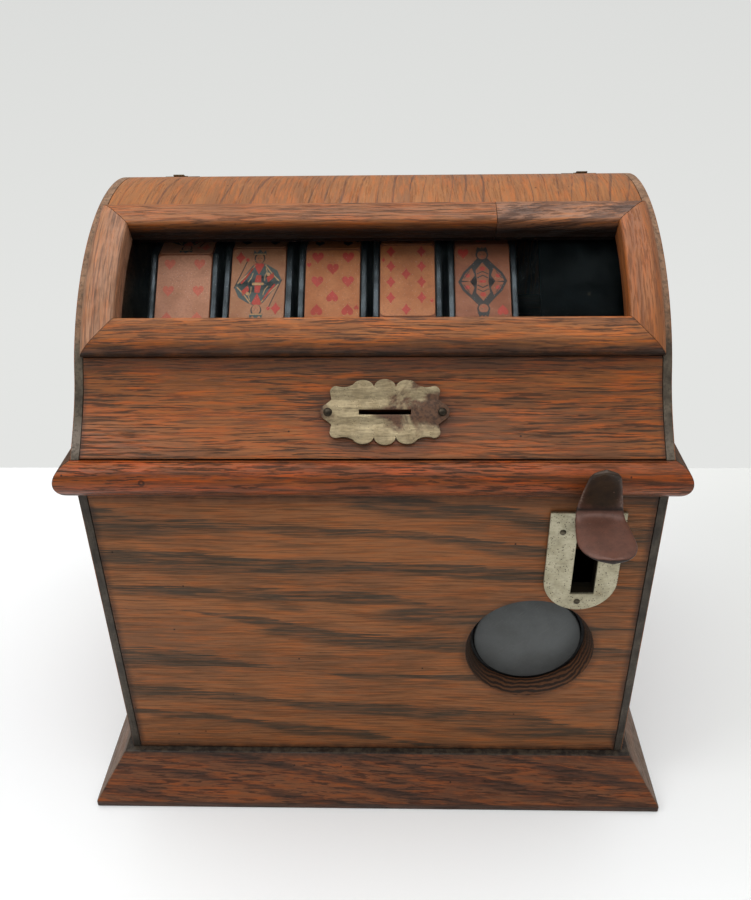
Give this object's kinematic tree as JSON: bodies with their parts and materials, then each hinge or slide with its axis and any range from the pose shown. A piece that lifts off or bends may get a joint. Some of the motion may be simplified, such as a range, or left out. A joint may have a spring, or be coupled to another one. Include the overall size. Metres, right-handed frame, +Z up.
{
  "type": "card reel amusement machine",
  "caption": "Countertop oak cabinet with a domed top, a glazed window over a row of card reels, a thumb lever, a coin slot, a round port and a rear cash drawer.",
  "frame": {"origin": "centre of the plinth's underside", "axes": "+X to the right along the reels' shaft, -Y is the front with the lever and the coin slot, +Z up"},
  "size_m": [0.2892, 0.2611, 0.2855],
  "materials": {
    "oak_cabinet": "varnished quarter and plain sawn oak, aged red brown, satin",
    "oak_back": "darker oak, thin finish",
    "window_glass": "clear curved pane",
    "soft_wood": "bare softwood",
    "nickel_plate": "worn nickel plating, pitted, brown rust in places",
    "nail_iron": "dark round-headed nails",
    "port_slate": "opaque slate grey, dull",
    "black_iron": "black japanned",
    "tin_plate": "dull tinplate",
    "bright_steel": "bright",
    "lever_iron": "worn red brown japan over iron",
    "reel_card": "aged orange tan card on a drum, red suit marks",
    "blued_steel": "blued",
    "brass": "tarnished",
    "bay_black": "black"
  },
  "bodies": {
    "cabinet": {"base_plinth": "oak_cabinet", "side_board_left": "oak_cabinet", "side_board_right": "oak_cabinet", "front_panel": "oak_cabinet", "belt_front": "oak_cabinet", "belt_left": "oak_cabinet", "belt_right": "oak_cabinet", "cove_board": "oak_cabinet", "frame_rail_bottom": "oak_cabinet", "frame_rail_top": "oak_cabinet", "frame_stile_left": "oak_cabinet", "frame_stile_right": "oak_cabinet", "dome_top": "oak_cabinet", "rear_panel": "oak_back", "window_glass": "window_glass", "mechanism_shelf": "soft_wood", "coin_slot_plate": "nickel_plate", "lever_plate": "nickel_plate", "slot_nail_left": "nail_iron", "slot_nail_right": "nail_iron", "lever_nail_1": "nail_iron", "lever_nail_2": "nail_iron", "lever_nail_3": "nail_iron", "port_disc": "port_slate", "port_retainer": "black_iron", "reel_bracket_left": "black_iron", "reel_bracket_right": "black_iron", "lever_bracket": "black_iron", "coin_chute": "tin_plate", "lever_pin": "bright_steel", "lever_spring": "bright_steel", "stop_comb": "brass", "hinge_leaf_fixed_left": "brass", "hinge_leaf_fixed_right": "brass", "bay_mask": "bay_black"},
    "rear_lid": {"rear_lid": "oak_cabinet", "hinge_leaf_moving_left": "brass", "hinge_leaf_moving_right": "brass"},
    "lid_lock": {"lid_lock": "brass"},
    "cash_drawer": {"cash_drawer": "soft_wood", "drawer_knob": "brass"},
    "thumb_lever": {"thumb_lever": "lever_iron"},
    "drive_pawl": {"drive_pawl": "bright_steel"},
    "reel_shaft": {"reel_shaft": "bright_steel", "drive_ratchet": "bright_steel"},
    "reel_1": {"reel_drum_1": "reel_card", "reel_rim_left_1": "blued_steel", "reel_rim_right_1": "blued_steel"},
    "reel_2": {"reel_drum_2": "reel_card", "reel_rim_left_2": "blued_steel", "reel_rim_right_2": "blued_steel"},
    "reel_3": {"reel_drum_3": "reel_card", "reel_rim_left_3": "blued_steel", "reel_rim_right_3": "blued_steel"},
    "reel_4": {"reel_drum_4": "reel_card", "reel_rim_left_4": "blued_steel", "reel_rim_right_4": "blued_steel"},
    "reel_5": {"reel_drum_5": "reel_card", "reel_rim_left_5": "blued_steel", "reel_rim_right_5": "blued_steel"}
  },
  "joints": [
    {"name": "lid_hinge", "type": "hinge", "parent": "cabinet", "child": "rear_lid", "pos_m": [0, 0.0576, 0.27787], "axis": [1, 0, 0], "range_deg": [0, 105]},
    {"name": "lock_turn", "type": "hinge", "parent": "rear_lid", "child": "lid_lock", "pos_m": [0, 0.1, 0.207], "axis": [0, 1, 0], "range_deg": [0, 90]},
    {"name": "drawer_slide", "type": "slide", "parent": "cabinet", "child": "cash_drawer", "axis": [0, 1, 0], "range_m": [0, 0.12]},
    {"name": "lever_swing", "type": "hinge", "parent": "cabinet", "child": "thumb_lever", "pos_m": [0.0953, -0.03, 0.163], "axis": [1, 0, 0], "range_deg": [0, 21], "stiffness_Nm_per_rad": 0.4, "springref_deg": -25.78, "deforming": ["lever_spring"]},
    {"name": "pawl_pivot", "type": "hinge", "parent": "thumb_lever", "child": "drive_pawl", "pos_m": [0.0953, -0.014, 0.17], "axis": [1, 0, 0], "range_deg": [0, 15], "stiffness_Nm_per_rad": 0.02, "springref_deg": -17.19},
    {"name": "shaft_spin", "type": "hinge", "parent": "cabinet", "child": "reel_shaft", "pos_m": [0, 0.0075, 0.208], "axis": [1, 0, 0], "continuous": true},
    {"name": "reel_1_spin", "type": "hinge", "parent": "cabinet", "child": "reel_1", "pos_m": [-0.0866, 0.0075, 0.208], "axis": [1, 0, 0], "continuous": true},
    {"name": "reel_2_spin", "type": "hinge", "parent": "cabinet", "child": "reel_2", "pos_m": [-0.0524, 0.0075, 0.208], "axis": [1, 0, 0], "continuous": true},
    {"name": "reel_3_spin", "type": "hinge", "parent": "cabinet", "child": "reel_3", "pos_m": [-0.0182, 0.0075, 0.208], "axis": [1, 0, 0], "continuous": true},
    {"name": "reel_4_spin", "type": "hinge", "parent": "cabinet", "child": "reel_4", "pos_m": [0.016, 0.0075, 0.208], "axis": [1, 0, 0], "continuous": true},
    {"name": "reel_5_spin", "type": "hinge", "parent": "cabinet", "child": "reel_5", "pos_m": [0.0502, 0.0075, 0.208], "axis": [1, 0, 0], "continuous": true}
  ]
}
